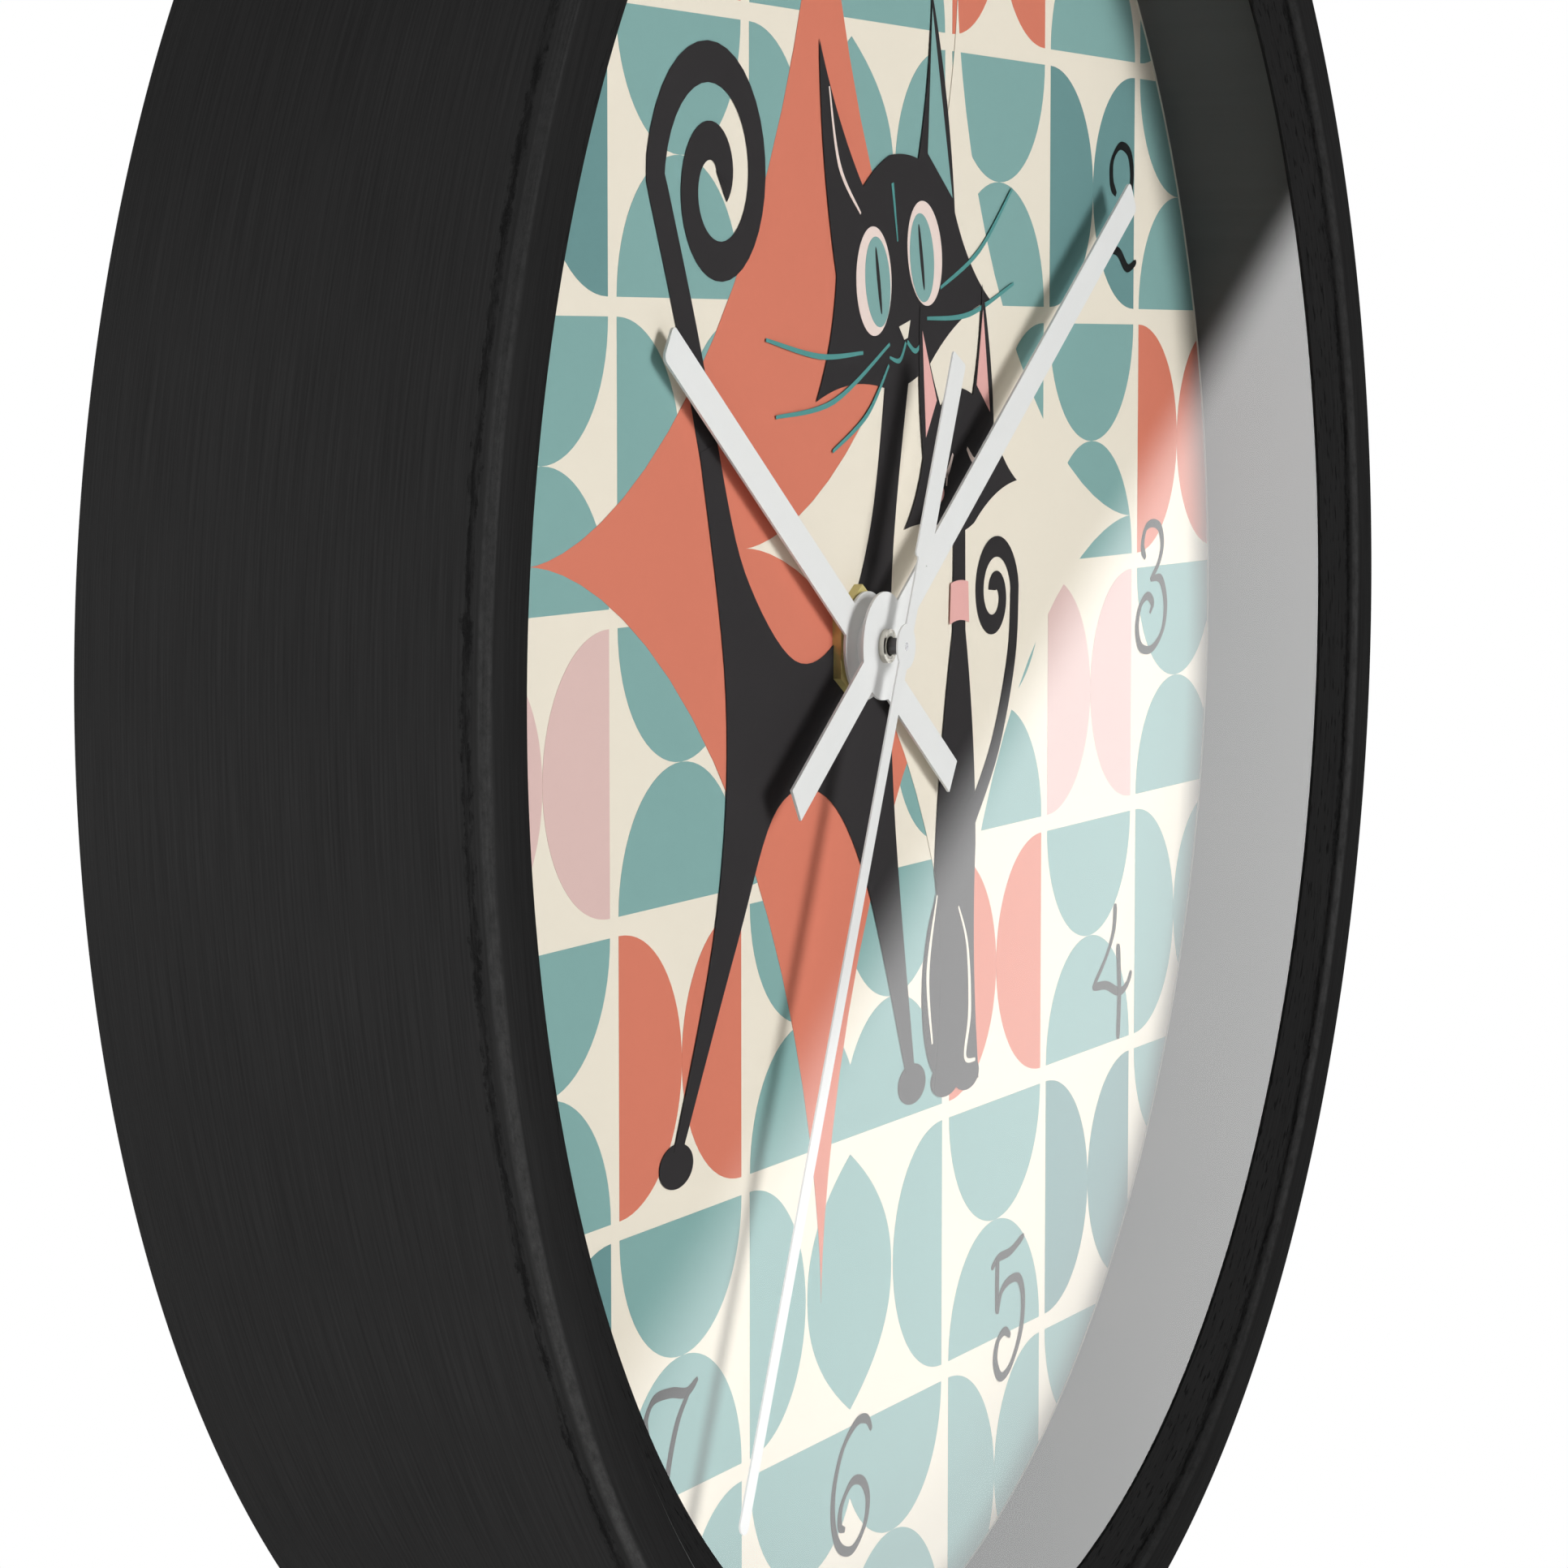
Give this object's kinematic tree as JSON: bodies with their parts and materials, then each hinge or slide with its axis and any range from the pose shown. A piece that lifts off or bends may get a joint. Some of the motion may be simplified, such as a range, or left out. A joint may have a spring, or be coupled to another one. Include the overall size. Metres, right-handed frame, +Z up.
{
  "type": "round wall clock",
  "caption": "Round battery wall clock: deep black wooden hoop, flat glass lens, printed mid-century cat dial, slim white hands, quartz movement and hanger plate behind.",
  "frame": {"origin": "centre of the whole clock: on the hands' axis, half way between the front plane and the rear rim", "axes": "+Z up towards twelve, -Y out of the dial towards the viewer, +Y towards the wall, +X to three o'clock"},
  "size_m": [0.254, 0.044, 0.254],
  "materials": {
    "frame_black": "satin black lacquer over fine-grained wood, glossy on the rounded front edge",
    "lens_glass": "clear polished flat glass",
    "dial_print": "matt printed sheet, cream ground",
    "board_mdf": "raw medium-density fibreboard",
    "spring_steel": "bright zinc-plated strip",
    "zinc_plate": "zinc-plated sheet, slightly spangled",
    "screw_steel": "bright zinc plate",
    "rubber": "matt moulded rubber",
    "brass": "plain turned brass, slightly dulled",
    "hand_white": "satin white paint on stamped aluminium",
    "nickel": "nickel plate",
    "case_black": "moulded black plastic, fine spark texture",
    "nylon": "natural moulded acetal",
    "magnet": "moulded ferrite magnet",
    "core_steel": "bare transformer steel",
    "copper": "fine enamelled copper wire",
    "circuit_green": "solder-masked circuit board",
    "epoxy": "black potting resin",
    "battery_wrap": "shrunk printed film, plain"
  },
  "bodies": {
    "clock_body": {"frame_ring": "frame_black", "lens": "lens_glass", "spacer_ring": "frame_black", "dial_print": "dial_print", "dial_board": "board_mdf", "dial_clips": "spring_steel", "clip_screws": "screw_steel", "hanger_plate": "zinc_plate", "rubber_washer": "rubber", "threaded_bush": "brass", "hex_nut": "brass", "case_front": "case_black", "case_back": "case_black", "middle_plate": "nylon", "gear_bridge": "nylon", "bridge_screws": "screw_steel", "stator": "core_steel", "coil_core": "core_steel", "coil_bobbin": "nylon", "coil_winding": "copper", "coil_screws": "screw_steel", "circuit_board": "circuit_green", "chip_cover": "epoxy", "quartz_crystal": "nickel", "contact_plus": "nickel", "contact_minus": "nickel", "battery_can": "nickel", "battery_sleeve": "battery_wrap"},
    "second": {"second_hand": "hand_white", "second_hand_tube": "brass", "second_arbor": "screw_steel", "second_wheel": "nylon"},
    "third": {"third_wheel": "nylon"},
    "centre": {"centre_wheel": "nylon"},
    "intermediate": {"intermediate_wheel": "nylon"},
    "rotor": {"rotor_magnet": "magnet", "rotor_pinion": "nylon"},
    "minute": {"minute_hand": "hand_white", "minute_nut": "nickel", "minute_pipe": "nylon"},
    "hour": {"hour_hand": "hand_white", "hour_wheel": "nylon"},
    "motion": {"motion_wheel": "nylon"},
    "setting": {"setting_shaft": "nylon", "setting_knob": "case_black"}
  },
  "joints": [
    {"name": "second_spin", "type": "hinge", "parent": "clock_body", "child": "second", "pos_m": [0, 0, 0], "axis": [0, 1, 0], "continuous": true},
    {"name": "third_spin", "type": "hinge", "parent": "clock_body", "child": "third", "pos_m": [-0.00883, 0, 0.0051], "axis": [0, 1, 0], "continuous": true},
    {"name": "centre_spin", "type": "hinge", "parent": "clock_body", "child": "centre", "pos_m": [0, 0, 0], "axis": [0, 1, 0], "continuous": true},
    {"name": "intermediate_spin", "type": "hinge", "parent": "clock_body", "child": "intermediate", "pos_m": [0.00552, 0, 0.00463], "axis": [0, 1, 0], "continuous": true},
    {"name": "rotor_spin", "type": "hinge", "parent": "clock_body", "child": "rotor", "pos_m": [0.00733, 0, 0.01139], "axis": [0, 1, 0], "continuous": true},
    {"name": "minute_spin", "type": "hinge", "parent": "clock_body", "child": "minute", "pos_m": [0, 0, 0], "axis": [0, 1, 0], "continuous": true},
    {"name": "hour_spin", "type": "hinge", "parent": "clock_body", "child": "hour", "pos_m": [0, 0, 0], "axis": [0, 1, 0], "continuous": true},
    {"name": "motion_spin", "type": "hinge", "parent": "clock_body", "child": "motion", "pos_m": [-0.00789, 0, -0.00287], "axis": [0, 1, 0], "continuous": true},
    {"name": "setting_spin", "type": "hinge", "parent": "clock_body", "child": "setting", "pos_m": [-0.01629, 0, -0.00287], "axis": [0, 1, 0], "continuous": true}
  ],
  "couplings": [
    {"joint": "third_spin", "follows": "second_spin", "ratio": -0.13333},
    {"joint": "centre_spin", "follows": "second_spin", "ratio": 0.016667},
    {"joint": "intermediate_spin", "follows": "second_spin", "ratio": -5},
    {"joint": "rotor_spin", "follows": "second_spin", "ratio": 30},
    {"joint": "motion_spin", "follows": "minute_spin", "ratio": -0.33333},
    {"joint": "hour_spin", "follows": "minute_spin", "ratio": 0.083333},
    {"joint": "setting_spin", "follows": "minute_spin", "ratio": 1}
  ]
}
